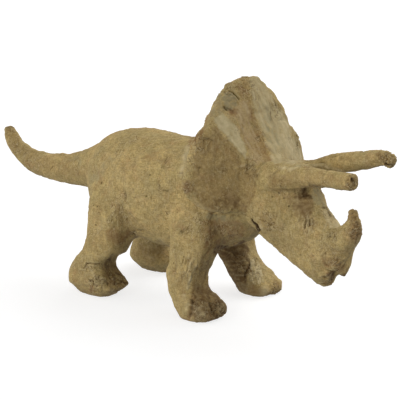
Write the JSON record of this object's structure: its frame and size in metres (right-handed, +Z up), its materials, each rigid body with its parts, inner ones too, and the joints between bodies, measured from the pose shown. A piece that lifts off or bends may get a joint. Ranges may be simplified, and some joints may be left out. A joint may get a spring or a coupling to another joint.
{
  "type": "papier-mache triceratops figure",
  "caption": "Unpainted kraft-paper papier-mache triceratops, standing with raised tail, frill, two long brow horns and a nose horn, head turned slightly to its right.",
  "frame": {"origin": "on the ground, under the middle of the figure's box", "axes": "+X forwards, from the tail to the horns; +Y to the animal's left; +Z up"},
  "size_m": [0.274, 0.09, 0.1297],
  "materials": {
    "kraft_paper": "matte, fibrous, unpainted"
  },
  "bodies": {
    "root": {"triceratops": "kraft_paper"}
  },
  "joints": []
}
